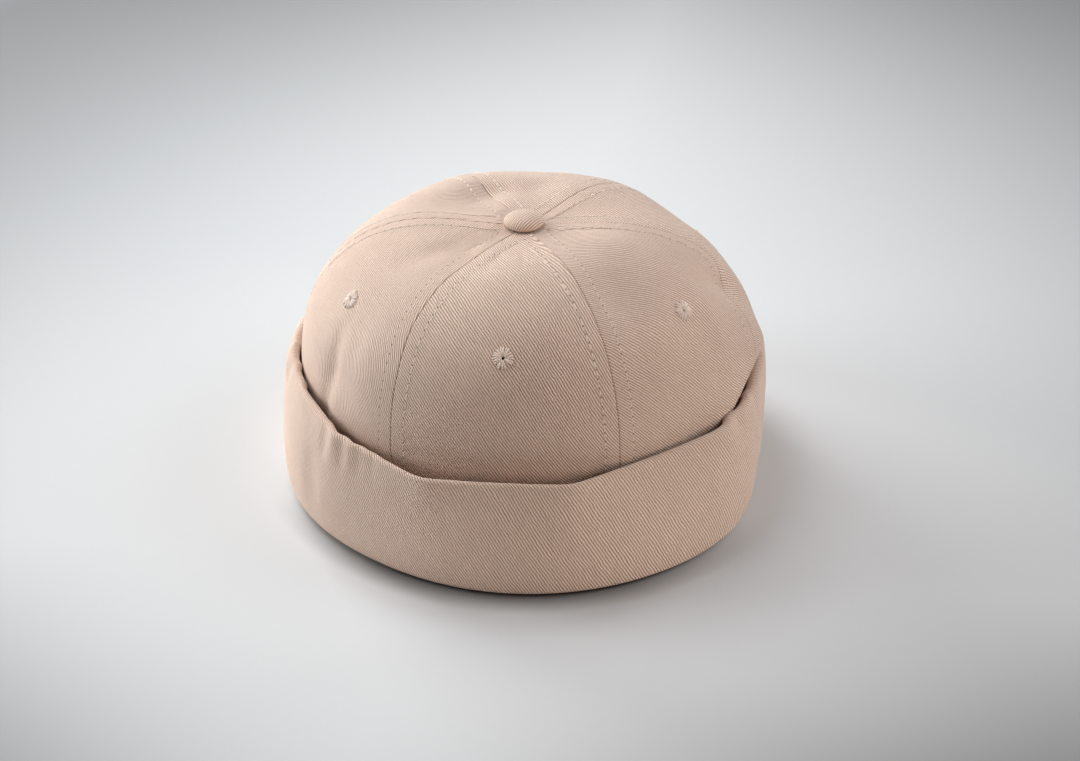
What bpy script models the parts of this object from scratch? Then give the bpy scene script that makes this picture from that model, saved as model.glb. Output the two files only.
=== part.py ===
"""Docker hat laid on a surface: six sewn crown panels, a covered button, stitched eyelets, a turned-up cuff.

Lengths are in metres, +Z is up and the front of the hat faces -Y. The origin is on the surface that the
hat stands on, under its middle. An azimuth is in degrees from the front and grows towards +X.
A level runs down the crown: 0 at its middle, 1 at its widest line (the waist) and 2 at its hem.
"""

import math
from collections import namedtuple

import bmesh
import bpy
from mathutils import Matrix, Vector

# Cuff
RIM_WIDTH = 0.196
RIM_DEPTH = 0.202
CUFF_HEIGHT = 0.052
CUFF_WALL = 0.0035
CUFF_BELLY = 0.0022
HEEL_ROUND = 0.0040
HEM_LEDGE = 0.0020

# Crown
CLOTH = 0.0012
CROWN_RISE = 0.056
DIMPLE_DEPTH = 0.0068
DIMPLE_RADIUS = 0.041
ROUND_OUT = 2.8
ROUND_UP = 2.25

# Button and eyelets
BUTTON_WIDTH = 0.0165
BUTTON_HEIGHT = 0.0048
BUTTON_SHANK = 0.0050
EYELET_WIDTH = 0.0087
EYELET_HOLE = 0.0013
EYELET_BARREL = 0.0036
EYELET_BACK = 0.0052
EYELET_RAISE = 0.0006

# Clearances
SEAM_GAP = 0.0003
HEM_GAP = 0.0003
HEM_LIFT = 0.0008
BUTTON_GAP = 0.0003
EYELET_GAP = 0.0003

# How finely the cloth is divided
PANEL_COLUMNS = 11
DOME_ROWS = 14
WALL_ROWS = 4
CUFF_COLUMNS = 88
CUFF_ROWS = 7
BUTTON_SIDES = 20
EYELET_SIDES = 12

TWILL_COLOUR = (0.60, 0.46, 0.37, 1.0)
THREAD_COLOUR = (0.66, 0.52, 0.43, 1.0)
CLOTH_ROUGHNESS = 0.9

# Worked out from the sizes above
CROWN_TOP = CUFF_HEIGHT + CROWN_RISE
LIP_ROUND = CUFF_WALL / 2
BUTTON_HOLE = BUTTON_SHANK + 2 * BUTTON_GAP
BUTTON_RIM = BUTTON_WIDTH / 2

# How the shape bends: powers and shares, and angles in degrees
LIP_FADE = 1.6
CORNER_SOFTNESS = 3.0
TUCK_PLACE = 0.6
SEAM_STRAY_LEVEL = 0.60
SEAM_STRAY_SPAN = 0.08
DOME_LENGTH = 1.3
FOLD_START = 0.10
BUTTON_EDGE = 0.25
BUTTON_UNDERSIDE = 0.94
HEEL_ANGLES = (30, 60)
LIP_ANGLES = (45, 90, 135)
BUTTON_ANGLES = (0, 20, 40, 60, 75)
SEAT_ANGLES = range(0, 360, 15)
NORMAL_TURN = 1.0
NORMAL_STEP = 0.01

# Foot of the cuff: how far it stands out at the surface, a share of the rim's radius there,
# and how high its rounded heel reaches, a share of the cuff's height
Foot = namedtuple("Foot", "azimuth out heel")
FEET = (
    Foot(-180, 0.000, 0.06),
    Foot(-150, -0.007, 0.06),
    Foot(-120, -0.012, 0.07),
    Foot(-90, 0.008, 0.08),
    Foot(-60, 0.014, 0.10),
    Foot(-30, -0.010, 0.09),
    Foot(0, 0.002, 0.07),
    Foot(30, 0.018, 0.06),
    Foot(60, 0.034, 0.06),
    Foot(90, -0.012, 0.06),
    Foot(120, 0.017, 0.06),
    Foot(150, 0.007, 0.06),
)

# Corners of the cuff's top edge, which runs nearly straight between them: how far each stands out,
# a share of the rim's radius there, and how high it lifts, a share of the cuff's height
Corner = namedtuple("Corner", "azimuth out lift")
LIP_CORNERS = (
    Corner(-180, 0.006, 0.00),
    Corner(-150, 0.003, 0.01),
    Corner(-125, 0.001, 0.00),
    Corner(-100, 0.011, 0.00),
    Corner(-82, -0.003, 0.00),
    Corner(-64, -0.034, 0.01),
    Corner(-43, -0.012, -0.01),
    Corner(-17, 0.040, -0.02),
    Corner(-1, 0.011, 0.00),
    Corner(16, 0.033, -0.01),
    Corner(58, 0.025, -0.01),
    Corner(75, 0.011, 0.00),
    Corner(92, 0.010, 0.00),
    Corner(106, 0.033, 0.00),
    Corner(120, 0.030, 0.01),
    Corner(150, 0.019, 0.00),
)

# Crown sections. reach: the waist's distance out, a share of the room inside the cuff. waist: its height,
# a share of the cuff's. tuck: how far the wall below it draws in, a share of the waist's radius. crest: how
# much higher the shoulder stands, a share of the crown's rise. square: how boxy the shoulder is.
Section = namedtuple("Section", "azimuth reach waist tuck crest square")
SECTIONS = (
    Section(-180, -0.050, 0.88, 0.010, 0.000, -0.01),
    Section(-150, -0.049, 0.90, 0.010, 0.005, 0.03),
    Section(-120, -0.042, 0.88, 0.010, -0.013, 0.01),
    Section(-90, -0.020, 0.93, 0.010, 0.002, -0.06),
    Section(-60, -0.054, 0.88, 0.010, -0.015, -0.04),
    Section(-30, -0.051, 0.93, 0.010, -0.058, 0.13),
    Section(0, -0.052, 0.89, 0.010, -0.014, 0.25),
    Section(30, -0.048, 0.92, 0.010, 0.026, 0.01),
    Section(60, -0.035, 0.92, 0.015, 0.040, -0.01),
    Section(90, 0.015, 1.10, 0.056, 0.037, -0.13),
    Section(120, -0.014, 0.90, 0.020, 0.007, -0.10),
    Section(150, -0.035, 0.93, 0.010, -0.015, 0.03),
)

# Seams, from the button down to the hem. A seam may stray sideways where a fold crosses it.
Seam = namedtuple("Seam", "name top hem")
SEAMS = (
    Seam("front_left", -29, -28),
    Seam("front_right", 29, 29),
    Seam("right", 96, 84),
    Seam("back_right", 147, 147),
    Seam("back_left", 210, 210),
    Seam("left", 267, 267),
)

# Panels, each from the seam of the same place in the list above to the next one, with its eyelet's place
Panel = namedtuple("Panel", "name eyelet_azimuth eyelet_level")
PANELS = (
    Panel("front", 0.3, 0.58),
    Panel("front_right", 60, 0.556),
    Panel("back_right", 121, 0.61),
    Panel("back", 180, 0.61),
    Panel("back_left", 240, 0.61),
    Panel("front_left", 299, 0.556),
)

# Folds and dents of the crown. heading: 0 runs down from the button, 90 round the crown towards +X.
# across and along: half its width and half its length. lift: how far it stands out (+) or in (-).
# All three are shares of half the rim's width.
Fold = namedtuple("Fold", "name azimuth level heading across along lift")
FOLDS = (
    Fold("front left valley", -53, 0.20, -8, 0.07, 0.18, -0.012),
    Fold("front left hollow", -31, 0.17, 0, 0.10, 0.09, -0.012),
    Fold("front left dip", -48, 0.60, 0, 0.10, 0.30, -0.008),
    Fold("left valley", -51, 0.87, 68, 0.07, 0.26, -0.027),
    Fold("left crease", -56, 0.90, 0, 0.05, 0.28, -0.020),
    Fold("front dip", 3, 0.31, 0, 0.10, 0.12, -0.006),
    Fold("front right hollow", 43, 0.385, -17, 0.12, 0.16, -0.029),
    Fold("top right swell", 68, 0.195, 0, 0.10, 0.12, 0.013),
    Fold("right ridge", 69, 0.64, 0, 0.07, 0.22, 0.009),
    Fold("right valley", 86, 0.63, 20, 0.09, 0.18, -0.038),
    Fold("right overhang", 92, 0.98, 0, 0.08, 0.10, 0.024),
    Fold("back right bulge", 114, 0.60, 0, 0.14, 0.16, 0.013),
    Fold("back left hollow", -118, 0.20, 0, 0.10, 0.12, -0.016),
    Fold("back left dent", -153, 0.15, -7, 0.17, 0.085, -0.050),
    Fold("back left swell", -165, 0.12, 0, 0.08, 0.09, 0.016),
    Fold("back dent", 174, 0.19, 0, 0.08, 0.08, -0.011),
)


def oval(azimuth, width, depth):
    """Radius at an azimuth of an oval with the given width and depth."""
    turn = math.radians(azimuth)
    return 0.5 / math.hypot(math.sin(turn) / width, math.cos(turn) / depth)


def read_sections(rows, column, azimuth):
    """Value of a column at an azimuth, on a smooth closed curve through evenly spaced rows."""
    place = (azimuth - rows[0].azimuth) / (360 / len(rows))
    first = math.floor(place)
    t = place - first
    before, start, end, after = (getattr(rows[(first + k) % len(rows)], column) for k in (-1, 0, 1, 2))
    bend = 2 * before - 5 * start + 4 * end - after
    twist = 3 * (start - end) + after - before
    return start + 0.5 * t * (end - before + t * (bend + t * twist))


def rim_radius(azimuth):
    """Radius of the cuff's outer face at the surface."""
    return oval(azimuth, RIM_WIDTH, RIM_DEPTH) * (1 + read_sections(FEET, "out", azimuth))


def straight_lip(azimuth):
    """Radius and height of the top edge, on straight lines from corner to corner."""
    turns = [(azimuth - corner.azimuth) % 360 for corner in LIP_CORNERS]
    first = turns.index(min(turns))
    start, end = LIP_CORNERS[first], LIP_CORNERS[(first + 1) % len(LIP_CORNERS)]
    past = math.radians(turns[first])
    left = math.radians((end.azimuth - azimuth) % 360)
    start_radius = oval(start.azimuth, RIM_WIDTH, RIM_DEPTH) * (1 + start.out)
    end_radius = oval(end.azimuth, RIM_WIDTH, RIM_DEPTH) * (1 + end.out)
    pull = start_radius * math.sin(past) + end_radius * math.sin(left)
    share = start_radius * math.sin(past) / pull
    lift = start.lift + (end.lift - start.lift) * share
    return start_radius * end_radius * math.sin(past + left) / pull, CUFF_HEIGHT * (1 + lift)


def lip(azimuth):
    """Radius and height of the top edge, with its corners softened."""
    spots = [straight_lip(azimuth + shift) for shift in (-CORNER_SOFTNESS, 0, 0, CORNER_SOFTNESS)]
    return sum(spot[0] for spot in spots) / len(spots), sum(spot[1] for spot in spots) / len(spots)


def cuff_face(azimuth, share):
    """Radius and height on the cuff's outer face, a share of the way from the surface to its top edge."""
    lip_radius, lip_height = lip(azimuth)
    blend = share ** LIP_FADE
    belly = CUFF_BELLY * 4 * share * (1 - share)
    return rim_radius(azimuth) * (1 - blend) + lip_radius * blend + belly, lip_height * share


def hem_radius(azimuth):
    """Radius of the crown's outer face at its hem, which stands inside the foot of the cuff."""
    return rim_radius(azimuth) - CUFF_WALL - HEM_GAP


def crown_base(azimuth, level):
    """Point of the crown's outer face before its folds."""
    reach, waist, tuck, crest, square = (
        read_sections(SECTIONS, column, azimuth) for column in ("reach", "waist", "tuck", "crest", "square")
    )
    room = oval(azimuth, RIM_WIDTH, RIM_DEPTH) - CUFF_WALL - HEM_GAP
    waist_radius = room * (1 + reach)
    waist_height = CUFF_HEIGHT * waist
    if level <= 1:
        turn = level * math.pi / 2
        out = math.sin(turn) ** (2 / (ROUND_OUT * (1 + square)))
        up = max(0.0, math.cos(turn)) ** (2 / (ROUND_UP * (1 + square)))
        radius = waist_radius * out
        rise = (CROWN_TOP - waist_height) * (1 + crest * out) + DIMPLE_DEPTH
        height = waist_height + rise * up - DIMPLE_DEPTH * math.exp(-((radius / DIMPLE_RADIUS) ** 2))
    else:
        drop = level - 1
        draw = tuck * math.sin(math.pi * drop**TUCK_PLACE)
        radius = waist_radius * (1 - draw) + (hem_radius(azimuth) - waist_radius) * drop**2
        height = waist_height + (HEM_LEDGE + HEM_LIFT - waist_height) * drop
    turn = math.radians(azimuth)
    return Vector((radius * math.sin(turn), -radius * math.cos(turn), height))


def outward(face, azimuth, level):
    """Outward normal of a face of the crown."""
    above, below = max(2 * NORMAL_STEP, level - NORMAL_STEP), min(2.0, level + NORMAL_STEP)
    around = face(azimuth + NORMAL_TURN, level) - face(azimuth - NORMAL_TURN, level)
    down = face(azimuth, below) - face(azimuth, above)
    return down.cross(around).normalized()


def fold_lift(azimuth, level):
    """How far the folds push a point of the crown outwards. They fade out where the button holds the cloth."""
    out = math.sin(min(level, 1.0) * math.pi / 2) ** (2 / ROUND_OUT)
    free = 1 - math.exp(-((out / FOLD_START) ** 2))
    lift = 0.0
    for fold in FOLDS:
        around = math.radians((azimuth - fold.azimuth + 180) % 360 - 180) * out
        down = (level - fold.level) * DOME_LENGTH
        heading = math.radians(fold.heading)
        along = down * math.cos(heading) + around * math.sin(heading)
        across = around * math.cos(heading) - down * math.sin(heading)
        lift += fold.lift * math.exp(-((across / fold.across) ** 2) - (along / fold.along) ** 2)
    return lift * free * RIM_WIDTH / 2


def crown_point(azimuth, level):
    """Point of the crown's outer face."""
    return crown_base(azimuth, level) + outward(crown_base, azimuth, level) * fold_lift(azimuth, level)


def seam_azimuth(seam, level):
    """Azimuth of a seam at a level of the crown."""
    past = (1 + math.tanh((level - SEAM_STRAY_LEVEL) / SEAM_STRAY_SPAN)) / 2
    return seam.top + (seam.hem - seam.top) * past


def level_at_radius(azimuth, radius):
    """Level of the crown's outer face at a small radius round its middle."""
    room = oval(azimuth, RIM_WIDTH, RIM_DEPTH) - CUFF_WALL - HEM_GAP
    waist_radius = room * (1 + read_sections(SECTIONS, "reach", azimuth))
    power = ROUND_OUT * (1 + read_sections(SECTIONS, "square", azimuth)) / 2
    return math.asin((radius / waist_radius) ** power) * 2 / math.pi


def make_material(name, colour):
    material = bpy.data.materials.new(name)
    material.use_nodes = True
    shader = material.node_tree.nodes["Principled BSDF"]
    shader.inputs["Base Color"].default_value = colour
    shader.inputs["Roughness"].default_value = CLOTH_ROUGHNESS
    shader.inputs["Metallic"].default_value = 0.0
    return material


def add_object(name, points, faces, material, parent):
    """Object with its faces turned outwards and shaded smooth."""
    mesh = bpy.data.meshes.new(name)
    mesh.from_pydata(points, [], faces)
    mesh.validate()
    mesh.shade_smooth()
    mesh.materials.append(material)
    item = bpy.data.objects.new(name, mesh)
    item.parent = parent
    bpy.context.scene.collection.objects.link(item)
    return item


def turned_solid(profile, sides):
    """Points and faces of a closed ring that turns a closed profile of radii and heights about Z."""
    points = []
    for side in range(sides):
        turn = 2 * math.pi * side / sides
        points += [(radius * math.cos(turn), radius * math.sin(turn), height) for radius, height in profile]
    return points, ring_faces(sides, len(profile))


def ring_faces(columns, rows):
    """Quads of a grid that closes on itself both ways, row after row inside each column."""
    faces = []
    for column in range(columns):
        here, there = column * rows, (column + 1) % columns * rows
        for row in range(rows):
            after = (row + 1) % rows
            faces.append((here + row, there + row, there + after, here + after))
    return faces


def make_cuff(material, parent):
    """Doubled band, turned up from the hem: a foot under the crown, an outer wall and a rolled top edge."""
    points = []
    for column in range(CUFF_COLUMNS):
        azimuth = 360 * column / CUFF_COLUMNS
        turn = math.radians(azimuth)
        foot = rim_radius(azimuth)
        lip_height = lip(azimuth)[1]
        heel = CUFF_HEIGHT * read_sections(FEET, "heel", azimuth)
        inner = hem_radius(azimuth) - CLOTH
        flat = foot - HEEL_ROUND
        section = [(inner, HEM_LEDGE), (inner, 0.0), (flat, 0.0)]
        low = heel / lip_height
        high = 1 - LIP_ROUND / lip_height
        out = cuff_face(azimuth, low)[0] - flat
        for angle in HEEL_ANGLES:
            bend = math.radians(angle)
            section.append((flat + out * math.sin(bend), heel * (1 - math.cos(bend))))
        wall = [cuff_face(azimuth, low + (high - low) * row / CUFF_ROWS) for row in range(CUFF_ROWS + 1)]
        section += wall
        roll_radius, roll_height = wall[-1]
        middle = roll_radius - LIP_ROUND
        for angle in LIP_ANGLES:
            bend = math.radians(angle)
            section.append((middle + LIP_ROUND * math.cos(bend), roll_height + LIP_ROUND * math.sin(bend)))
        section += [(radius - CUFF_WALL, height) for radius, height in reversed(wall[1:])]
        section.append((foot - CUFF_WALL, HEM_LEDGE))
        points += [(radius * math.sin(turn), -radius * math.cos(turn), height) for radius, height in section]
    return add_object("cuff", points, ring_faces(CUFF_COLUMNS, len(section)), material, parent)


def row_level(azimuth, row):
    """Level of a row of the crown's grid, from the hole under the button down to the hem."""
    if row > DOME_ROWS:
        return 1 + (row - DOME_ROWS) / WALL_ROWS
    top = level_at_radius(azimuth, BUTTON_HOLE / 2)
    return top + (1 - top) * row / DOME_ROWS


def panel_row(start_seam, end_seam, row):
    """Points across a panel at one row, half a seam gap inside its two seams."""
    level = row_level(start_seam.top, row)
    start, end = seam_azimuth(start_seam, level), seam_azimuth(end_seam, level)
    end = start + (end - start) % 360
    spot = crown_base(start, level)
    inset = math.degrees(SEAM_GAP / 2 / math.hypot(spot.x, spot.y))
    step = (end - start - 2 * inset) / PANEL_COLUMNS
    azimuths = [start + inset + step * column for column in range(PANEL_COLUMNS + 1)]
    return [crown_point(azimuth, row_level(azimuth, row)) for azimuth in azimuths]


def make_panel(index, material, parent):
    """One gore of the crown, from the hole under the button down to the hem inside the cuff."""
    start_seam, end_seam = SEAMS[index], SEAMS[(index + 1) % len(SEAMS)]
    rows = range(DOME_ROWS + WALL_ROWS + 1)
    points = [point for row in rows for point in panel_row(start_seam, end_seam, row)]
    faces = []
    for row in range(DOME_ROWS + WALL_ROWS):
        for column in range(PANEL_COLUMNS):
            upper = row * (PANEL_COLUMNS + 1) + column
            lower = upper + PANEL_COLUMNS + 1
            faces.append((upper, lower, lower + 1, upper + 1))
    item = add_object(f"crown_panel_{PANELS[index].name}", points, faces, material, parent)
    shell = item.modifiers.new("Cloth", "SOLIDIFY")
    shell.thickness = CLOTH
    shell.offset = -1
    return item


def eyelet_seat(panel):
    """Place of a panel's eyelet: its origin on the cloth's outer face, its local Z pointing out."""
    spot = crown_point(panel.eyelet_azimuth, panel.eyelet_level)
    out = outward(crown_point, panel.eyelet_azimuth, panel.eyelet_level)
    return Matrix.Translation(spot) @ out.to_track_quat("Z", "Y").to_matrix().to_4x4()


def make_eyelet(panel, material, parent):
    """Sewn ring through its hole, with a raised ring of stitches outside and a flat one inside."""
    hole, barrel, flange, inner = EYELET_HOLE / 2, EYELET_BARREL / 2, EYELET_WIDTH / 2, EYELET_BACK / 2
    back = -CLOTH - EYELET_GAP
    profile = [
        (hole, back - EYELET_RAISE),
        (inner, back - EYELET_RAISE),
        (inner, back),
        (barrel, back),
        (barrel, EYELET_GAP),
        (flange, EYELET_GAP),
        (flange - EYELET_RAISE / 2, EYELET_GAP + EYELET_RAISE),
        (hole, EYELET_GAP + EYELET_RAISE),
    ]
    points, faces = turned_solid(profile, EYELET_SIDES)
    item = add_object(f"eyelet_{panel.name}", points, faces, material, parent)
    item.matrix_world = eyelet_seat(panel)
    return item


def cut_eyelet_hole(panel, item, parent):
    """Hole through a panel for its eyelet's barrel."""
    bpy.ops.mesh.primitive_cylinder_add(
        vertices=EYELET_SIDES, radius=EYELET_BARREL / 2 + EYELET_GAP, depth=EYELET_WIDTH
    )
    cutter = bpy.context.object
    cutter.name = f"eyelet_cutter_{panel.name}"
    cutter.parent = parent
    cutter.matrix_world = eyelet_seat(panel)
    cutter.hide_render = True
    cutter.display_type = "WIRE"
    cut = item.modifiers.new("Eyelet hole", "BOOLEAN")
    cut.object = cutter
    cut.operation = "DIFFERENCE"


def make_button(material, parent):
    """Cloth-covered dome with its shank through the middle of the crown."""
    around = [crown_point(azimuth, level_at_radius(azimuth, BUTTON_RIM)).z for azimuth in SEAT_ANGLES]
    seat = max(around) + BUTTON_GAP
    middle = crown_base(0, 0)
    shank = BUTTON_SHANK / 2
    shank_end = middle.z - seat - CLOTH - BUTTON_GAP
    profile = [(0.0, shank_end), (shank, shank_end), (shank, 0.0), (BUTTON_RIM * BUTTON_UNDERSIDE, 0.0)]
    for angle in BUTTON_ANGLES:
        bend = math.radians(angle)
        share = BUTTON_EDGE + (1 - BUTTON_EDGE) * math.sin(bend)
        profile.append((BUTTON_RIM * math.cos(bend), BUTTON_HEIGHT * share))
    profile.append((0.0, BUTTON_HEIGHT))
    body = bmesh.new()
    outline = [body.verts.new((radius, 0.0, height)) for radius, height in profile]
    edges = [body.edges.new(pair) for pair in zip(outline, outline[1:])]
    bmesh.ops.spin(
        body, geom=outline + edges, cent=(0, 0, 0), axis=(0, 0, 1), angle=2 * math.pi, steps=BUTTON_SIDES
    )
    bmesh.ops.remove_doubles(body, verts=body.verts, dist=1e-6)
    bmesh.ops.recalc_face_normals(body, faces=body.faces)
    mesh = bpy.data.meshes.new("top_button")
    body.to_mesh(mesh)
    body.free()
    mesh.shade_smooth()
    mesh.materials.append(material)
    item = bpy.data.objects.new("top_button", mesh)
    item.parent = parent
    item.location = (middle.x, middle.y, seat)
    bpy.context.scene.collection.objects.link(item)
    return item


def main():
    for item in list(bpy.data.objects):
        bpy.data.objects.remove(item, do_unlink=True)
    hat = bpy.data.objects.new("docker_hat", None)
    bpy.context.scene.collection.objects.link(hat)
    crown_twill = make_material("crown_twill", TWILL_COLOUR)
    cuff_twill = make_material("cuff_twill", TWILL_COLOUR)
    button_twill = make_material("button_twill", TWILL_COLOUR)
    thread = make_material("thread", THREAD_COLOUR)
    make_cuff(cuff_twill, hat)
    for index, panel in enumerate(PANELS):
        item = make_panel(index, crown_twill, hat)
        cut_eyelet_hole(panel, item, hat)
        make_eyelet(panel, thread, hat)
    make_button(button_twill, hat)


main()
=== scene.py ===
"""Looks of a docker hat: twill panels with their folds, seams and topstitching, sewn eyelets, a covered
button and a turned-up cuff.

Lengths are in metres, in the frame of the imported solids: +Z is up and the front faces -Y. An azimuth is in
degrees from the front and grows towards +X. A level runs down the crown: 0 at its middle, 1 at its widest
line (the waist) and 2 at its hem.
"""

import math
from collections import namedtuple

import bmesh
import bpy
import numpy as np
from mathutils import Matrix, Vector


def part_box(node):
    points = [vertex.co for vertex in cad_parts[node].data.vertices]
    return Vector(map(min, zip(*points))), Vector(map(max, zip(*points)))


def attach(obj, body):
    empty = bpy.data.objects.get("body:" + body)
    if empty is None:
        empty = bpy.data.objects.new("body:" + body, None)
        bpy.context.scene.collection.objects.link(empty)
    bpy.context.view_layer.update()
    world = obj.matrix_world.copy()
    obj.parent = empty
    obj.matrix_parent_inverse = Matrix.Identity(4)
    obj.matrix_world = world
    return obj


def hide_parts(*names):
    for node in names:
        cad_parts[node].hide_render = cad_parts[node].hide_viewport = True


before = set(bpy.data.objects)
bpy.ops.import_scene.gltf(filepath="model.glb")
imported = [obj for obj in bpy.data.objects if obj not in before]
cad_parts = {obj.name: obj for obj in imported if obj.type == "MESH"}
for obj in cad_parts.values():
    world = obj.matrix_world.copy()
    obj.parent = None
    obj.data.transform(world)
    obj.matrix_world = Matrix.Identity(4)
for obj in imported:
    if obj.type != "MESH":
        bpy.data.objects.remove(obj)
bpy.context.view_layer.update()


def extent(node):
    """Width, depth and height of a node of the frame."""
    low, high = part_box(node)
    return high - low


def table(kind, columns, *rows):
    """Rows of values with named columns."""
    row = namedtuple(kind, columns)
    return tuple(row(*values) for values in rows)


# Sizes that follow the frame, each a share of a node's box
RIM_WIDTH = 0.97892 * extent("cuff").x
RIM_DEPTH = 0.97673 * extent("cuff").y
CUFF_HEIGHT = 0.99086 * extent("cuff").z
CROWN_TOP = 0.95116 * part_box("top_button")[1].z
BUTTON_RIM = 0.485 * extent("top_button").x
BUTTON_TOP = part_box("top_button")[1].z
BUTTON_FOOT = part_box("top_button")[0].z

# Cuff
CUFF_WALL = 0.0035
CUFF_BELLY = 0.0022
CUFF_CLOTH = 0.0011
CUFF_PLAIN_FOOT = 0.12
HEEL_ROUND = 0.0040
HEM_LEDGE = 0.0020
HEM_ROUND = 0.0005
CUFF_COLUMNS = 660
OUTER_ROWS = 50
INNER_ROWS = 24
INNER_SPACING = 1.3

# Fold at the cuff's top edge: how its corners soften, its rolled height, its room beside the crown
LIP_FADE = 1.6
CORNER_SOFTNESS = 4.5
CORNER_SPREAD = 18
CORNER_FADE = 3
LIP_ROLL = 0.0012
LIP_ROLL_SHARE = 0.30
LAYERS_MEET = 5
LIP_GAP = 0.0002
LIP_THINNEST = 0.0024
LIP_ROOM_DOWN = 0.003
LIP_ROOM_SPAN = 0.004
LIP_SAMPLES = 120

# Crown
CLOTH = 0.0012
DIMPLE_DEPTH = 0.0068
DIMPLE_RADIUS = 0.041
ROUND_OUT = 2.8
ROUND_UP = 2.25
HEM_GAP = 0.0003
HEM_LIFT = 0.0008
BUTTON_HOLE = 0.0056
TUCK_PLACE = 0.6
SEAM_STRAY_LEVEL = 0.60
SEAM_STRAY_SPAN = 0.08
DOME_LENGTH = 1.3
FOLD_START = 0.10
LEVEL_HEM = 2.0
LEVEL_FIRST = 0.004
LEVEL_STEP = 0.01

# Mesh of a panel: rows as far as the cloth shows and fewer below that, columns close together at its seams
PANEL_SAMPLES = 4000
ROW_STEP = 0.0007
HIDDEN_BELOW = 0.016
HIDDEN_ROWS = 16
CENTRE_COLUMNS = 52
SEAM_SHARE = 0.42
SEAM_COLUMNS = np.array([
    0.05, 0.2, 0.4, 0.65, 0.95, 1.35, 1.8, 2.4, 3.0, 3.6, 4.2, 4.7,
    5.1, 5.5, 5.8, 6.1, 6.4, 6.7, 7.0, 7.3, 7.7, 8.2, 8.9, 9.8,
]) / 1000

# Seams: the rolled edge with its own tight stitches, the raised allowance beside it and its soft edge
SEAM_DEPTH = 0.00040
SEAM_ROLL = 0.00022
SEAM_SHARPNESS = 1.2
SEAM_PITCH = 0.0026
SEAM_GRIP = 0.44
SEAM_LIFT = 0.00016
SEAM_LIFT_FADE = 0.028
SEAM_ALLOWANCE = 0.0078
SEAM_EDGE = 0.0030
SEAM_SHOULDER = 0.0012
# Seam map offsets that keep the painted shade of groove and needle holes off flat seams and plain cloth
SEAM_BLANK = 0.001
NO_SEAM = 0.05

# Topstitching: its rows, the valley and puckers along them, and one stitch, with its share of the pitch
# and its heights and half widths at places along it
STITCH_ROW = 0.0060
STITCH_PITCH = 0.0035
STITCH_START = 0.0125
STITCH_VALLEY = 0.00007
STITCH_VALLEY_WIDTH = 0.0007
STITCH_GRIP = 0.70
PUCKER_LIFT = 0.00012
PUCKER_LENGTH = 0.0085
PUCKER_WIDTH = 0.0042
ROW_SAMPLES = 600
STITCH_FIRST = 0.04
STITCH_SHARE = 0.92
STITCH_PLACES = np.array([0.0, 0.07, 0.18, 0.5, 0.82, 0.93, 1.0])
STITCH_HEIGHTS = np.array([-0.36, -0.13, 0.00, 0.04, 0.00, -0.13, -0.36]) / 1000
STITCH_WIDTHS = np.array([0.14, 0.18, 0.20, 0.21, 0.20, 0.18, 0.14]) / 1000
STITCH_FLATNESS = 0.85
STITCH_SIDES = 6
STITCH_STRAY = 0.05
STITCH_LOOSE = 0.00014
STITCH_LOOSE_FADE = 0.030

# Eyelets: the sewn strands, with their heights at places from the hole outwards, and the ring under them,
# as radii and heights from the inside of the cloth to the outside
EYELET_WIDTH = 0.0087
EYELET_HOLE = 0.0013
EYELET_STRANDS = 20
EYELET_SEED = 300
EYELET_INNER = 0.9
STRAND_PLACES = np.array([0.0, 0.03, 0.12, 0.35, 0.6, 0.82, 0.95, 1.0])
STRAND_HEIGHTS = np.array([-0.9, 0.10, 0.55, 0.66, 0.60, 0.46, 0.15, -0.35]) / 1000
STRAND_SHARE = 0.37
STRAND_WIDEST = 0.00031
STRAND_THINNEST = 0.00014
STRAND_FLATNESS = 0.7
STRAND_SIDES = 8
STRAND_UP = 0.001
STRAND_STRAY = 0.18
STRAND_BEND = 0.06
STRAND_REACHES = (0.86, 1.0)
STRAND_RISES = (0.75, 1.2)
STRAND_BREADTHS = (0.85, 1.15)
EYELET_RING = np.array([
    (EYELET_HOLE / 2, -0.0019), (0.0030, -0.0019), (0.0034, -0.0016), (0.0034, -0.0014), (0.00165, -0.0014),
    (0.00165, 0.00001), (0.0034, 0.00001), (0.0032, 0.00005), (0.0012, 0.00012), (EYELET_HOLE / 2, 0.00006),
])
EYELET_SIDES = 32
EYELET_MAP_LENGTH = 0.01
CUT_RADIUS = 0.0018
CUT_DEPTH = 0.01
CUT_SIDES = 24

# Button: the share of its height at its edge, how round it is, and the tucks and bulges of its cloth
BUTTON_HEIGHT = 0.0048
BUTTON_SHANK = 0.0050
BUTTON_TIP = 0.00005
BUTTON_EDGE = 0.30
BUTTON_TURN_IN = 40
BUTTON_LIP = 0.0001
BUTTON_FULLNESS = 0.80
BUTTON_ROWS = 26
BUTTON_SIDES = 120
TUCK_SEED = 41
TUCK_HEIGHT = 0.0006
TUCK_SPAN = 0.0011
TUCK_COUNT = 10
TUCK_WAVE = 3.1
TUCK_LIFT = 0.00014
BULGE_SEED = 43
BULGE_LIFT = 0.00010
BULGE_WAVE = 1.2

# Sheen and gloss of all the materials
SHEEN_ROUGHNESS = 0.5
SPECULAR_LEVEL = 0.25

# Weave: the ribs' pitch and angle, and where on a panel they turn from one grain to the other
TWILL_PITCH = 0.00102
CUFF_PITCH = 0.00108
CUFF_GRAIN = 62
BUTTON_GRAIN = -58
RIB_TURN_END = 0.65
RIB_TURN_SPAN = 0.40
FAN_STEP = 8
EVENING_ROWS = 5
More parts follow.
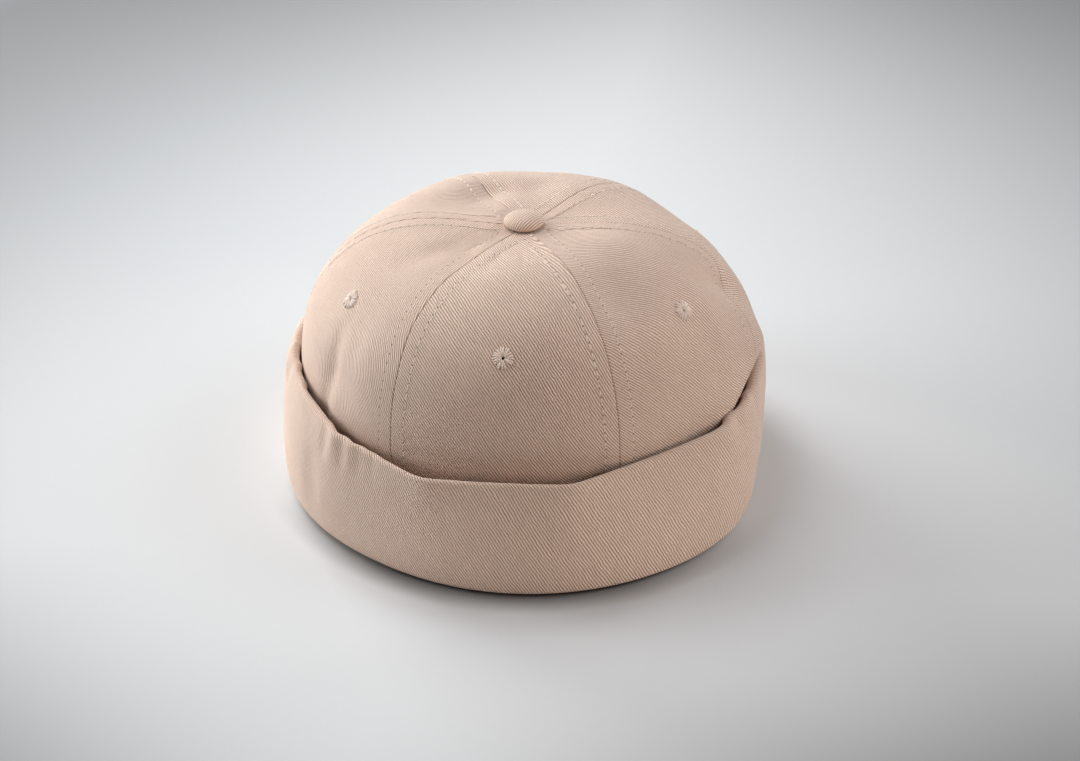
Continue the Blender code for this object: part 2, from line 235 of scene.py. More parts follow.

# Twill: drift and wobble of the ribs, shares of their pitch, and the scales of their noise, then the ribs'
# and floats' rounding, the yarn, the needle holes, the line at the seam, and the tones. The darker tone is
# painted shade in the ribs' valleys and at the floats' ends; needle holes and the seam's line get painted
# shade.
TWILL_LIGHT = (0.925, 0.732, 0.605, 1.0)
TWILL_SHADED = (0.325, 0.147, 0.082, 1.0)
TWILL_ROUGHNESS = 0.88
TWILL_SHEEN = 0.12
RIB_DRIFT = 1.1
DRIFT_SCALE = 90.0
RIB_WOBBLE = 0.55
WOBBLE_SCALE = 520.0
RIB_CREST = 1.8
RIB_HEIGHT = 0.00036
FLOAT_LENGTH = 0.62
FLOAT_STAGGER = 0.37
FLOAT_CREST = 4.0
FLOAT_DEPTH = 0.30
YARN_SCALE = 1400.0
YARN_HEIGHT = 0.30
YARN_TONE = 0.14
UNEVEN_SCALE = 120.0
HOLE_WIDTH = 0.00026
HOLE_LENGTH = 0.00034
HOLE_DEPTH = 1.6
HOLE_SHADE = 0.70
GROOVE_WIDTH = 0.00024
GROOVE_SHADE = 0.20
PATCH_SCALE = 22.0
PATCH_TONE = 0.10

# Thread: its tones, its twist and its fuzz. The darker tone is painted shade in the grooves of the twist.
THREAD_LIGHT = (0.97, 0.83, 0.72, 1.0)
THREAD_SHADED = (0.72, 0.57, 0.47, 1.0)
EYELET_LIGHT = (1.0, 0.88, 0.79, 1.0)
EYELET_SHADED = (0.76, 0.58, 0.47, 1.0)
THREAD_ROUGHNESS = 0.62
THREAD_SHEEN = 0.25
THREAD_TWIST = 0.00055
THREAD_PLIES = 2.0
THREAD_RELIEF = 0.00008
FUZZ_ALONG = 4000.0
FUZZ_AROUND = 6.0
PLY_SHADE = 1.2
FUZZ_TONE = 0.5

# Irregular waves of the cloth, in metres. The cuff's are taken on a round band of one radius.
TURN = 2 * math.pi
WAVE_COUNT = 5
SWELL_COUNT = 8
CROWN_WAVES = table("Wave", "seed length lift", (7, 0.030, 0.00022), (8, 0.012, 0.00010))
CUFF_WAVES = table("Wave", "seed length lift", (21, 0.040, 0.00035), (22, 0.014, 0.00012))
CUFF_WAVES_RADIUS = 0.1

# Camera
CAMERA_ELEVATION = 31.0
CAMERA_AZIMUTH = 5.5
CAMERA_DISTANCE = 0.875
CAMERA_LENS = 70.0
CAMERA_SENSOR = 36.0
CAMERA_CLIP = (0.01, 20.0)
CAMERA_TARGET_HEIGHT = 0.0362
CAMERA_TARGET_ASIDE = 0.0064

# Soft boxes of the studio, all turned to the hat from the same distance
LIGHT_DISTANCE = 1.3
LIGHT_SIZE = 0.7
LIGHT_TARGET = (0.0, 0.0, 0.05)
LAMPS = table("Lamp", "name azimuth elevation power colour",
    ("front_right_low", 45, 15, 5.7, (1.16, 1.00, 0.91)),
    ("back_right_low", 135, 15, 4.8, (0.98, 1.00, 1.01)),
    ("back_left_low", 225, 15, 17.2, (0.956, 1.00, 1.017)),
    ("left_low", 270, 15, 13.5, (0.965, 1.00, 1.01)),
    ("right", 90, 40, 5.0, (0.94, 1.00, 1.045)),
    ("overhead", 225, 65, 8.7, (0.995, 1.00, 1.03)),
)

# Floor: its brightness, and the place and reach of a pool of light painted on it, which fades to painted
# shade further out. Behind it the room is plain grey.
FLOOR_WHITE = 0.66
FLOOR_CENTRE = (-0.02, -0.08)
FLOOR_SKEW = 0.10
FLOOR_SPREAD = 1.25
FLOOR_SPREAD_LEAST = 0.1
FLOOR_REACH_LEFT = 0.34
FLOOR_REACH_RIGHT = 0.42
FLOOR_REACH_FRONT = 0.24
FLOOR_REACH_BACK = 0.71
FLOOR_POWER = 1.16
FLOOR_FALL = 3.96
FLOOR_DARKEST = 0.14
FLOOR_RADIUS = 1.13
FLOOR_SIDES = 128
FLOOR_ROUGHNESS = 0.85
PAPER_SCALE = 260.0
PAPER_TONE = 0.01
PAPER_RELIEF = 0.00005
ROOM_GREY = 0.36

# Contact shade on the floor along the front of the hat: how far it reaches, how deep it is,
# and where it starts and over what length it grows towards the front
CONTACT_SAMPLES = 16
CONTACT_REACH = 0.011
CONTACT_DEPTH = 1.35
CONTACT_START = -0.040
CONTACT_FADE = 0.050

# Foot of the cuff: how far it stands out at the surface, a share of the rim's radius there,
# and how high its rounded heel reaches, a share of the cuff's height
FEET = table("Foot", "azimuth out heel",
    (-180, 0.000, 0.06),
    (-150, -0.007, 0.06),
    (-120, -0.012, 0.07),
    (-90, 0.008, 0.08),
    (-60, 0.014, 0.10),
    (-30, -0.010, 0.09),
    (0, 0.002, 0.07),
    (30, 0.018, 0.06),
    (60, 0.034, 0.06),
    (90, -0.012, 0.06),
    (120, 0.017, 0.06),
    (150, 0.007, 0.06),
)

# Corners of the cuff's top edge, which runs nearly straight between them: how far each stands out,
# a share of the rim's radius there, and how high it lifts, a share of the cuff's height
LIP_CORNERS = table("Corner", "azimuth out lift",
    (-180, 0.006, 0.00),
    (-150, 0.003, 0.01),
    (-125, 0.001, 0.00),
    (-100, 0.011, 0.00),
    (-82, -0.003, 0.00),
    (-64, -0.034, 0.01),
    (-43, -0.012, -0.01),
    (-17, 0.040, -0.02),
    (-1, 0.011, 0.00),
    (16, 0.033, -0.01),
    (58, 0.025, -0.01),
    (75, 0.011, 0.00),
    (92, 0.010, 0.00),
    (106, 0.033, 0.00),
    (120, 0.030, 0.01),
    (150, 0.019, 0.00),
)

# Thickness of the fold at the cuff's top edge, in metres: the cloth lies nearly flat in front and
# rolls over loosely at the sides
LIP_ROLLS = table("Roll", "azimuth thickness",
    (-180, 0.0040),
    (-150, 0.0045),
    (-125, 0.0060),
    (-100, 0.0075),
    (-72, 0.0070),
    (-68, 0.0052),
    (-65, 0.0034),
    (-52, 0.0040),
    (-36, 0.0034),
    (-17, 0.0028),
    (16, 0.0028),
    (42, 0.0034),
    (52, 0.0046),
    (60, 0.0056),
    (64, 0.0080),
    (70, 0.0090),
    (95, 0.0090),
    (112, 0.0070),
    (140, 0.0045),
)

# Crown sections. reach: the waist's distance out, a share of the room inside the cuff. waist: its height,
# a share of the cuff's. tuck: how far the wall below it draws in, a share of the waist's radius. crest: how
# much higher the shoulder stands, a share of the crown's rise. square: how boxy the shoulder is.
SECTIONS = table("Section", "azimuth reach waist tuck crest square",
    (-180, -0.050, 0.88, 0.010, 0.000, -0.01),
    (-150, -0.049, 0.90, 0.010, 0.005, 0.03),
    (-120, -0.042, 0.88, 0.010, -0.013, 0.01),
    (-90, -0.020, 0.93, 0.010, 0.002, -0.06),
    (-60, -0.054, 0.88, 0.010, -0.015, -0.04),
    (-30, -0.051, 0.93, 0.010, -0.058, 0.13),
    (0, -0.052, 0.89, 0.010, -0.014, 0.25),
    (30, -0.048, 0.92, 0.010, 0.026, 0.01),
    (60, -0.035, 0.92, 0.015, 0.040, -0.01),
    (90, 0.015, 1.10, 0.056, 0.037, -0.13),
    (120, -0.014, 0.90, 0.020, 0.007, -0.10),
    (150, -0.035, 0.93, 0.010, -0.015, 0.03),
)

# Seams, from the button down to the hem. A seam may stray sideways where a fold crosses it. soft: how far
# from the crown's middle it stays pressed flat, in metres.
SEAMS = table("Seam", "name top hem soft",
    ("front_left", -29, -28, 0.006),
    ("front_right", 29, 29, 0.024),
    ("right", 96, 84, 0.042),
    ("back_right", 147, 147, 0.006),
    ("back_left", 210, 210, 0.026),
    ("left", 267, 267, 0.006),
)

# Panels, each from the seam of the same place in the list above to the next one, with its eyelet's place
# and its grain at the top and at the waist: how steeply the twill's ribs fall towards larger azimuths
PANELS = table("Panel", "name eyelet_azimuth eyelet_level top_grain grain",
    ("front", 0.3, 0.58, 57, 56),
    ("front_right", 60, 0.556, 58, 50),
    ("back_right", 121, 0.61, 57, 56),
    ("back", 180, 0.61, 56, 62),
    ("back_left", 240, 0.61, 52, 58),
    ("front_left", 299, 0.556, 57, 59),
)

# Folds and dents of the crown. heading: 0 runs down from the button, 90 round the crown towards +X.
# across and along: half its width and half its length. lift: how far it stands out (+) or in (-).
# All three are shares of half the rim's width.
FOLDS = table("Fold", "name azimuth level heading across along lift",
    ("front left valley", -53, 0.20, -8, 0.07, 0.18, -0.012),
    ("front left hollow", -31, 0.17, 0, 0.10, 0.09, -0.012),
    ("front left dip", -48, 0.60, 0, 0.10, 0.30, -0.008),
    ("left valley", -51, 0.84, 68, 0.08, 0.26, -0.021),
    ("left crease", -56, 0.86, 0, 0.055, 0.28, -0.016),
    ("front dip", 3, 0.31, 0, 0.10, 0.12, -0.006),
    ("front right hollow", 43, 0.385, -17, 0.12, 0.16, -0.029),
    ("top right swell", 68, 0.195, 0, 0.10, 0.12, 0.013),
    ("right ridge", 69, 0.64, 0, 0.07, 0.22, 0.009),
    ("right valley", 86, 0.63, 20, 0.09, 0.18, -0.038),
    ("right overhang", 92, 0.98, 0, 0.08, 0.10, 0.024),
    ("back right bulge", 114, 0.60, 0, 0.14, 0.16, 0.013),
    ("back left hollow", -118, 0.20, 0, 0.10, 0.12, -0.016),
    ("back left dent", -153, 0.15, -7, 0.17, 0.09, -0.040),
    ("back left swell", -165, 0.12, 0, 0.08, 0.09, 0.016),
    ("back dent", 174, 0.19, 0, 0.08, 0.08, -0.011),
    ("right pleat", 64, 0.99, 0, 0.13, 0.07, 0.022),
    ("pleat below the button", -14, 0.11, 0, 0.014, 0.07, -0.003),
    ("second pleat there", -42, 0.10, 0, 0.013, 0.06, -0.003),
    ("third pleat there", 5, 0.10, 0, 0.012, 0.05, -0.003),
    ("pleat beside the button", 82, 0.12, 0, 0.014, 0.09, -0.004),
    ("front crease", 21, 1.10, -12, 0.030, 0.16, -0.006),
)

# Small puckers of the cuff under its top edge: width in degrees, place and length as shares of the
# cuff's height, lift in metres
CUFF_PUCKERS = table("Pucker", "azimuth share width length lift",
    (63.5, 1.00, 2.0, 0.12, -0.0018),
    (74, 0.97, 1.6, 0.14, -0.0011),
    (-77, 0.97, 2.0, 0.14, -0.0012),
    (-88, 0.98, 1.8, 0.10, -0.0006),
    (-52, 0.48, 4.0, 0.30, -0.0010),
    (-47, 0.90, 1.8, 0.16, -0.0007),
    (-43, 0.93, 1.6, 0.12, 0.0004),
    (-40, 0.90, 1.5, 0.14, -0.0007),
    (-37, 0.93, 1.3, 0.12, 0.0005),
    (-34, 0.90, 1.5, 0.14, -0.0005),
    (-30, 0.92, 1.6, 0.14, -0.0005),
)


def oval(azimuth, width, depth):
    """Radius at an azimuth of an oval with the given width and depth."""
    turn = np.radians(azimuth)
    return 0.5 / np.hypot(np.sin(turn) / width, np.cos(turn) / depth)


def read_sections(rows, column, azimuth):
    """Value of a column at an azimuth, on a smooth closed curve through evenly spaced rows."""
    values = np.array([getattr(row, column) for row in rows], float)
    place = (np.asarray(azimuth, float) - rows[0].azimuth) / (360 / len(rows))
    first = np.floor(place).astype(int)
    t = place - first
    before, start, end, after = (values[(first + shift) % len(rows)] for shift in (-1, 0, 1, 2))
    bend = 2 * before - 5 * start + 4 * end - after
    twist = 3 * (start - end) + after - before
    return start + 0.5 * t * (end - before + t * (bend + t * twist))


def rim_radius(azimuth):
    """Radius of the cuff's outer face at the surface."""
    return oval(azimuth, RIM_WIDTH, RIM_DEPTH) * (1 + read_sections(FEET, "out", azimuth))


def straight_lip(azimuth):
    """Radius and height of the top edge, on straight lines from corner to corner."""
    corners = np.array(LIP_CORNERS, float)
    around = (azimuth + 180) % 360 - 180
    first = np.searchsorted(corners[:, 0], around, side="right") - 1
    start, end = corners[first], corners[(first + 1) % len(corners)]
    past = np.radians(around - start[..., 0])
    left = np.radians((end[..., 0] - around) % 360)
    start_radius = oval(start[..., 0], RIM_WIDTH, RIM_DEPTH) * (1 + start[..., 1])
    end_radius = oval(end[..., 0], RIM_WIDTH, RIM_DEPTH) * (1 + end[..., 1])
    pull = start_radius * np.sin(past) + end_radius * np.sin(left)
    lift = start[..., 2] + (end[..., 2] - start[..., 2]) * start_radius * np.sin(past) / pull
    return start_radius * end_radius * np.sin(past + left) / pull, CUFF_HEIGHT * (1 + lift)


def lip(azimuth, softness=CORNER_SOFTNESS):
    """Radius and height of the top edge, with its corners softened."""
    shares = np.linspace(-1, 1, 9)[1:-1]
    weights = 1 - np.abs(shares)
    spots = [straight_lip(np.asarray(azimuth, float) + share * softness) for share in shares]
    radius, height = (sum(w * spot[k] for w, spot in zip(weights, spots)) for k in (0, 1))
    return radius / weights.sum(), height / weights.sum()


def hem_radius(azimuth):
    """Radius of the crown's outer face at its hem, which stands inside the foot of the cuff."""
    return rim_radius(azimuth) - CUFF_WALL - HEM_GAP


def polar(azimuth, radius, height):
    """Points at the given azimuths, radii and heights."""
    turn = np.radians(azimuth)
    return np.stack(np.broadcast_arrays(radius * np.sin(turn), -radius * np.cos(turn), height), -1)


def crown_base(azimuth, level):
    """Points of the crown's outer face before its folds."""
    reach, waist, tuck, crest, square = (
        read_sections(SECTIONS, column, azimuth) for column in ("reach", "waist", "tuck", "crest", "square")
    )
    room = oval(azimuth, RIM_WIDTH, RIM_DEPTH) - CUFF_WALL - HEM_GAP
    waist_radius = room * (1 + reach)
    waist_height = CUFF_HEIGHT * waist
    turn = np.clip(level, 0, 1) * math.pi / 2
    out = np.sin(turn) ** (2 / (ROUND_OUT * (1 + square)))
    up = np.clip(np.cos(turn), 0, 1) ** (2 / (ROUND_UP * (1 + square)))
    dome_radius = waist_radius * out
    rise = (CROWN_TOP - waist_height) * (1 + crest * out) + DIMPLE_DEPTH
    dome_height = waist_height + rise * up - DIMPLE_DEPTH * np.exp(-((dome_radius / DIMPLE_RADIUS) ** 2))
    drop = np.clip(level - 1, 0, 1)
    draw = tuck * np.sin(math.pi * drop**TUCK_PLACE)
    wall_radius = waist_radius * (1 - draw) + (hem_radius(azimuth) - waist_radius) * drop**2
    wall_height = waist_height + (HEM_LEDGE + HEM_LIFT - waist_height) * drop
    on_dome = np.asarray(level) <= 1
    radius = np.where(on_dome, dome_radius, wall_radius)
    return polar(azimuth, radius, np.where(on_dome, dome_height, wall_height))


def fold_lift(azimuth, level):
    """How far the folds push a point of the crown outwards. They fade out under the button."""
    out = np.sin(np.clip(level, 0, 1) * math.pi / 2) ** (2 / ROUND_OUT)
    free = 1 - np.exp(-((out / FOLD_START) ** 2))
    lift = 0.0
    for fold in FOLDS:
        around = np.radians((azimuth - fold.azimuth + 180) % 360 - 180) * out
        down = (level - fold.level) * DOME_LENGTH
        heading = math.radians(fold.heading)
        along = down * math.cos(heading) + around * math.sin(heading)
        across = around * math.cos(heading) - down * math.sin(heading)
        lift = lift + fold.lift * np.exp(-((across / fold.across) ** 2) - (along / fold.along) ** 2)
    return lift * free * RIM_WIDTH / 2


def tangents(face, azimuth, level):
    """How a face of the crown runs: along one degree of azimuth, and along one level."""
    above, below = np.maximum(level - LEVEL_STEP, LEVEL_FIRST), np.minimum(level + LEVEL_STEP, LEVEL_HEM)
    around = face(azimuth + 0.5, level) - face(azimuth - 0.5, level)
    down = (face(azimuth, below) - face(azimuth, above)) / (below - above)[..., None]
    return around, down


def outward(face, azimuth, level):
    """Outward normals of a face of the crown."""
    around, down = tangents(face, azimuth, level)
    normal = np.cross(down, around)
    return normal / np.linalg.norm(normal, axis=-1, keepdims=True)


def crown_face(azimuth, level):
    """Points of the crown's outer face with its folds, before its seams."""
    lift = fold_lift(azimuth, level)
    return crown_base(azimuth, level) + outward(crown_base, azimuth, level) * lift[..., None]


def seam_azimuth(seam, level):
    """Azimuth of a seam at a level of the crown."""
    past = (1 + np.tanh((level - SEAM_STRAY_LEVEL) / SEAM_STRAY_SPAN)) / 2
    return seam.top + (seam.hem - seam.top) * past


def per_degree(azimuth, level):
    """Length of one degree of azimuth on the crown."""
    return np.linalg.norm(tangents(crown_base, azimuth, level)[0], axis=-1)


def waves(place, seed, length):
    """Smooth irregular waves from -1 to 1 along a line, about one length each."""
    rng = np.random.default_rng(seed)
    total = 0.0
    for _ in range(WAVE_COUNT):
        one = length * rng.uniform(0.6, 1.7)
        total = total + np.sin(TURN * place / one + rng.uniform(0, TURN))
    return total / WAVE_COUNT


def swells(points, seed, length):
    """Smooth irregular swells from -1 to 1 through space, about one length each."""
    rng = np.random.default_rng(seed)
    total = 0.0
    for _ in range(SWELL_COUNT):
        heading = rng.normal(size=3)
        heading *= TURN / (length * rng.uniform(0.6, 1.6)) / np.linalg.norm(heading)
        total = total + np.sin(points @ heading + rng.uniform(0, TURN))
    return total / SWELL_COUNT


def lengths_along(points):
    """Length of a line of points up to each of them."""
    steps = np.linalg.norm(np.diff(points, axis=0), axis=-1)
    return np.concatenate([[0.0], np.cumsum(steps)])


def ease(share):
    """Smooth step from 0 to 1."""
    share = np.clip(share, 0, 1)
    return share * share * (3 - 2 * share)


class Row:
    """One row of topstitching: it follows a seam on one side, +1 towards larger azimuths."""

    def __init__(self, index, side):
        self.seam = SEAMS[index % len(SEAMS)]
        self.side = side
        self.seed = 10 * (index % len(SEAMS)) + 5 + side
        start = level_at_radius(self.seam.top, STITCH_START)
        self.levels = np.linspace(start, LEVEL_HEM, ROW_SAMPLES)
        points = crown_face(self.azimuth(self.levels), self.levels)
        self.lengths = lengths_along(points)

    def azimuth(self, level):
        """Azimuth of the row at a level."""
        middle = seam_azimuth(self.seam, level)
        return middle + self.side * STITCH_ROW / per_degree(middle, level)

    def along(self, level):
        """Length of the row down to a level."""
        before = (level - self.levels[0]) * self.lengths[1] / (self.levels[1] - self.levels[0])
        return np.where(level < self.levels[0], before, np.interp(level, self.levels, self.lengths))

    def level(self, along):
        """Level at a length along the row."""
        return np.interp(along, self.lengths, self.levels)


def level_at_radius(azimuth, radius):
    """Level of the crown's outer face at a small radius round its middle."""
    room = oval(azimuth, RIM_WIDTH, RIM_DEPTH) - CUFF_WALL - HEM_GAP
    waist_radius = room * (1 + read_sections(SECTIONS, "reach", azimuth))
    power = ROUND_OUT * (1 + read_sections(SECTIONS, "square", azimuth)) / 2
    return np.arcsin((radius / waist_radius) ** power) * 2 / math.pi


def seam_crispness(along, soft):
    """How sharply a seam shows at a length along its stitches: 0 where it is pressed flat, else 1."""
    return 1 - np.exp(-((np.maximum(along + STITCH_START, 0) / soft) ** 4))


def seam_relief(distance, along, row):
    """Height of the cloth beside a seam: its rolled edge, its raised allowance, the stitches' valley."""
    tight = 1 - SEAM_GRIP * (1 - np.cos(TURN * along / SEAM_PITCH)) / 2
    crisp = seam_crispness(along, row.seam.soft)
    roll = -SEAM_DEPTH * crisp * tight * np.exp(-((distance / SEAM_ROLL) ** SEAM_SHARPNESS))
    lift = SEAM_LIFT * (0.6 + 0.9 * np.exp(-along / SEAM_LIFT_FADE))
    edge = ease((SEAM_ALLOWANCE - distance) / SEAM_EDGE)
    ridge = lift * edge * (1 - 0.35 * np.exp(-distance / SEAM_SHOULDER))
    pull = 1 - STITCH_GRIP * (1 - np.cos(TURN * along / STITCH_PITCH)) / 2
    aside = distance - STITCH_ROW
    valley = -STITCH_VALLEY * pull * np.exp(-((aside / STITCH_VALLEY_WIDTH) ** 2))
    pucker = PUCKER_LIFT * waves(along, row.seed, PUCKER_LENGTH) * np.exp(-((aside / PUCKER_WIDTH) ** 2))
    return roll + ridge + valley + pucker


class PanelCloth:
    """One gore of the crown, with its two seams and the row of stitches beside each."""

    def __init__(self, index):
        self.index = index
        self.panel = PANELS[index]
        self.seams = (SEAMS[index], SEAMS[(index + 1) % len(SEAMS)])
        self.rows = (Row(index, 1), Row(index + 1, -1))

    def edges(self, level):
        """Azimuths of the panel's two seams at a level."""
        start, end = (seam_azimuth(seam, level) for seam in self.seams)
        return start, start + (end - start) % 360

    def seam_places(self, azimuth, level):
        """Distances to the two seams, and lengths along the rows of stitches beside them."""
        start, end = self.edges(level)
        degree = per_degree(azimuth, level)
        to_start = (azimuth - start) * degree
        to_end = (end - azimuth) * degree
        return to_start, to_end, self.rows[0].along(level), self.rows[1].along(level)

    def relief(self, azimuth, level):
        """Height of the cloth above the plain folded face."""
        to_start, to_end, along_start, along_end = self.seam_places(azimuth, level)
        near_start = seam_relief(to_start, along_start, self.rows[0])
        near_end = seam_relief(to_end, along_end, self.rows[1])
        points = crown_base(azimuth, level)
        wrinkles = sum(wave.lift * swells(points, wave.seed, wave.length) for wave in CROWN_WAVES)
        return np.where(to_start < to_end, near_start, near_end) + wrinkles

    def point(self, azimuth, level, height=0.0):
        """Points of the finished cloth, or a height above it."""
        azimuth, level = np.broadcast_arrays(np.asarray(azimuth, float), np.asarray(level, float))
        lift = self.relief(azimuth, level) + height
        return crown_face(azimuth, level) + outward(crown_face, azimuth, level) * lift[..., None]


def mesh_object(name, points, faces, material, maps, map_faces=None):
    """Object from points and faces, shaded smooth, with its cloth and seam coordinates."""
    mesh = bpy.data.meshes.new(name)
    mesh.from_pydata([tuple(point) for point in points], [], [tuple(face) for face in faces])
    corners = np.concatenate([np.asarray(face) for face in (faces if map_faces is None else map_faces)])
    for map_name, values in maps.items():
        layer = mesh.uv_layers.new(name=map_name)
        layer.data.foreach_set("uv", np.asarray(values, np.float32)[corners].ravel())
    mesh.shade_smooth()
    mesh.materials.append(material)
    item = bpy.data.objects.new(name, mesh)
    bpy.context.scene.collection.objects.link(item)
    return item


def grid_faces(rows, columns):
    """Quads of an open grid stored row after row, turned outwards."""
    row, column = np.meshgrid(np.arange(rows - 1), np.arange(columns - 1), indexing="ij")
    corner = (row * columns + column).ravel()
    return np.stack([corner, corner + columns, corner + columns + 1, corner + 1], -1)


def border_loop(rows, columns):
    """Vertices round the border of a grid, in order."""
    top = np.arange(columns)
    right = np.arange(1, rows) * columns + columns - 1
    bottom = (rows - 1) * columns + np.arange(columns - 2, -1, -1)
    left = np.arange(rows - 2, 0, -1) * columns
    return np.concatenate([top, right, bottom, left])


def shell_faces(rows, columns):
    """Quads of a closed shell: an outer grid, an inner grid after it, and the border between them."""
    outer = grid_faces(rows, columns)
    count = rows * columns
    inner = outer[:, ::-1] + count
    loop = border_loop(rows, columns)
    ahead = np.roll(loop, -1)
    rim = np.stack([loop, ahead, ahead + count, loop + count], -1)
    return np.concatenate([outer, inner, rim])


def loop_faces(rows, columns, closed, doubled=False):
    """Quads of a grid whose rows run round and close. closed: its last row joins its first one as well.

    doubled: a copy of the first column follows the last one, for maps that run on across the join.
    """
    row, column = np.meshgrid(np.arange(rows if closed else rows - 1), np.arange(columns), indexing="ij")
    row, column = row.ravel(), column.ravel()
    stride = columns + doubled
    after, below = (column + 1) % stride, (row + 1) % rows
    corners = (row * stride + column, row * stride + after, below * stride + after, below * stride + column)
    return np.stack(corners, -1)


def tube_faces(rows, columns):
    """Faces of a tube stored ring after ring, with both ends closed."""
    ends = [tuple(range(columns))[::-1], tuple(range((rows - 1) * columns, rows * columns))]
    return [tuple(face) for face in loop_faces(rows, columns, closed=False)] + ends


def turned(across, up, grain):
    """Cloth coordinates across and along the ribs, which fall at the grain's angle."""
    sine, cosine = math.sin(math.radians(grain)), math.cos(math.radians(grain))
    return np.stack([across * sine + up * cosine, up * sine - across * cosine], -1)


def skewed(panel, fan, level, down):
    """Places across and up a panel's cloth, skewed so that its ribs turn from the top grain to the waist's.

    fan holds the places of the flat gore. Also gives the grain between the two, at which they are turned.
    """
    grain = (panel.top_grain + panel.grain) / 2
    share = ease((RIB_TURN_END - level) / RIB_TURN_SPAN)
    local = np.radians(panel.grain + (panel.top_grain - panel.grain) * share)
    slope = 1 / math.tan(math.radians(grain)) - 1 / np.tan(local)
    steps = (slope[1:] + slope[:-1]) / 2 * np.diff(down, axis=0)
    skew = np.concatenate([np.zeros_like(slope[:1]), np.cumsum(steps, axis=0)])
    across, up = fan
    return across + skew, up - down, grain


def evened_out(values):
    """Values of a panel's rows, evened out over a few rows on either side."""
    weights = np.hanning(2 * EVENING_ROWS + 1)
    padded = np.pad(values, EVENING_ROWS, mode="edge")
    return np.convolve(padded, weights / weights.sum(), mode="valid")


def flat_gore(from_middle, turn, degree, down):
    """Places of a gore's cloth laid flat, across and up from where they are on the crown's middle line.

    Near the top the flat gore opens like a fan, because each row keeps its length and bends round.
    """
    radius, few = np.degrees(degree), slice(None, None, FAN_STEP)
    opening = np.interp(down, down[few], np.gradient(radius[few], down[few]))
    bend = np.clip(evened_out(opening), 0, 1)[:, None] * turn
    half = bend / 2
    return from_middle * np.sinc(bend / math.pi), from_middle * half * np.sinc(half / math.pi) ** 2


def panel_levels(cloth):
    """Levels of a panel's rows: close together where the cloth shows, wider inside the cuff."""
    middle = cloth.panel.eyelet_azimuth
    levels = np.linspace(level_at_radius(middle, BUTTON_HOLE / 2), LEVEL_HEM, PANEL_SAMPLES)
    points = crown_face(np.full_like(levels, middle), levels)
    lengths = lengths_along(points)
    shown = lengths[np.argmax(points[:, 2] < CUFF_HEIGHT - HIDDEN_BELOW)]
    places = np.concatenate([np.arange(0, shown, ROW_STEP), np.linspace(shown, lengths[-1], HIDDEN_ROWS)])
    return np.interp(places, lengths, levels), places


def make_panel(cloth, material):
    """High-resolution cloth of one gore, closed all round."""
    levels, down = panel_levels(cloth)
    start, end = cloth.edges(levels)
    middle = (start + end) / 2
    width = (end - start) * per_degree(middle, levels)
    squeeze = np.minimum(1, SEAM_SHARE * width / SEAM_COLUMNS[-1])
    near = squeeze[:, None] * SEAM_COLUMNS
    inner_shares = np.linspace(0, 1, CENTRE_COLUMNS)[1:-1]
    centre = near[:, -1:] + (width[:, None] - 2 * near[:, -1:]) * inner_shares
    across = np.concatenate([near, centre, width[:, None] - near[:, ::-1]], 1)
    azimuth = start[:, None] + across / width[:, None] * (end - start)[:, None]
    level = np.broadcast_to(levels[:, None], azimuth.shape)
    rows, columns = azimuth.shape
    normal = outward(crown_face, azimuth, level)
    face = crown_face(azimuth, level)
    outer = face + normal * cloth.relief(azimuth, level)[..., None]
    inner = face - normal * CLOTH
    to_start, to_end, along_start, along_end = cloth.seam_places(azimuth, level)
    first = to_start < to_end
    from_middle = (azimuth - middle[:, None]) * per_degree(azimuth, level)
    fan = flat_gore(from_middle, np.radians(azimuth - middle[:, None]), per_degree(middle, levels), down)
    weave = turned(*skewed(cloth.panel, fan, levels[:, None], down[:, None]))
    along = np.where(first, along_start, along_end)
    soft = np.where(first, *(row.seam.soft for row in cloth.rows))
    # Where a seam is pressed flat its map moves off the seam, so the painted shade of the groove fades
    # there.
    blank = (1 - seam_crispness(along, soft)) * SEAM_BLANK
    nearest = np.minimum(to_start, to_end)
    seam = np.stack([nearest + blank * (1 - ease(nearest / SEAM_EDGE)), along], -1)
    inside_seam = seam + [NO_SEAM, 0.0]
    points = np.concatenate([outer.reshape(-1, 3), inner.reshape(-1, 3)])
    maps = {
        "cloth": np.concatenate([weave.reshape(-1, 2)] * 2),
        "seam": np.concatenate([seam.reshape(-1, 2), inside_seam.reshape(-1, 2)]),
    }
    faces = shell_faces(rows, columns)
    item = mesh_object(f"crown_cloth_{cloth.panel.name}", points, faces, material, maps)
    gore_width = width.max() + 2 * SEAM_ALLOWANCE
    gore_length = down[-1] + 2 * SEAM_ALLOWANCE
    area = np.sum((width[1:] + width[:-1]) / 2 * np.diff(down)) + 2 * gore_length * SEAM_ALLOWANCE
    return item, (float(gore_width), float(gore_length)), float(area)


def cuff_relief(azimuth, share):
    """Height of the cuff's outer layer above its plain face."""
    lift = 0.0
    for pucker in CUFF_PUCKERS:
        across = ((azimuth - pucker.azimuth + 180) % 360 - 180) / pucker.width
        up = (share - pucker.share) / pucker.length
        lift = lift + pucker.lift * np.exp(-(across**2) - up**2)
    points = polar(azimuth, CUFF_WAVES_RADIUS, share * CUFF_HEIGHT)
    for wave in CUFF_WAVES:
        lift = lift + wave.lift * swells(points, wave.seed, wave.length)
    return lift * ease(share / CUFF_PLAIN_FOOT)


def cuff_face(azimuth, share):
    """Radius and height on the cuff's outer face, a share of the way from the surface to its top edge."""
    lip_radius, lip_height = lip(azimuth)
    soft_radius = lip(azimuth, CORNER_SPREAD)[0]
    lip_radius = soft_radius + (lip_radius - soft_radius) * np.clip(share, 0, 1) ** CORNER_FADE
    blend = share**LIP_FADE
    belly = CUFF_BELLY * 4 * share * (1 - share)
    return rim_radius(azimuth) * (1 - blend) + lip_radius * blend + belly, lip_height * share


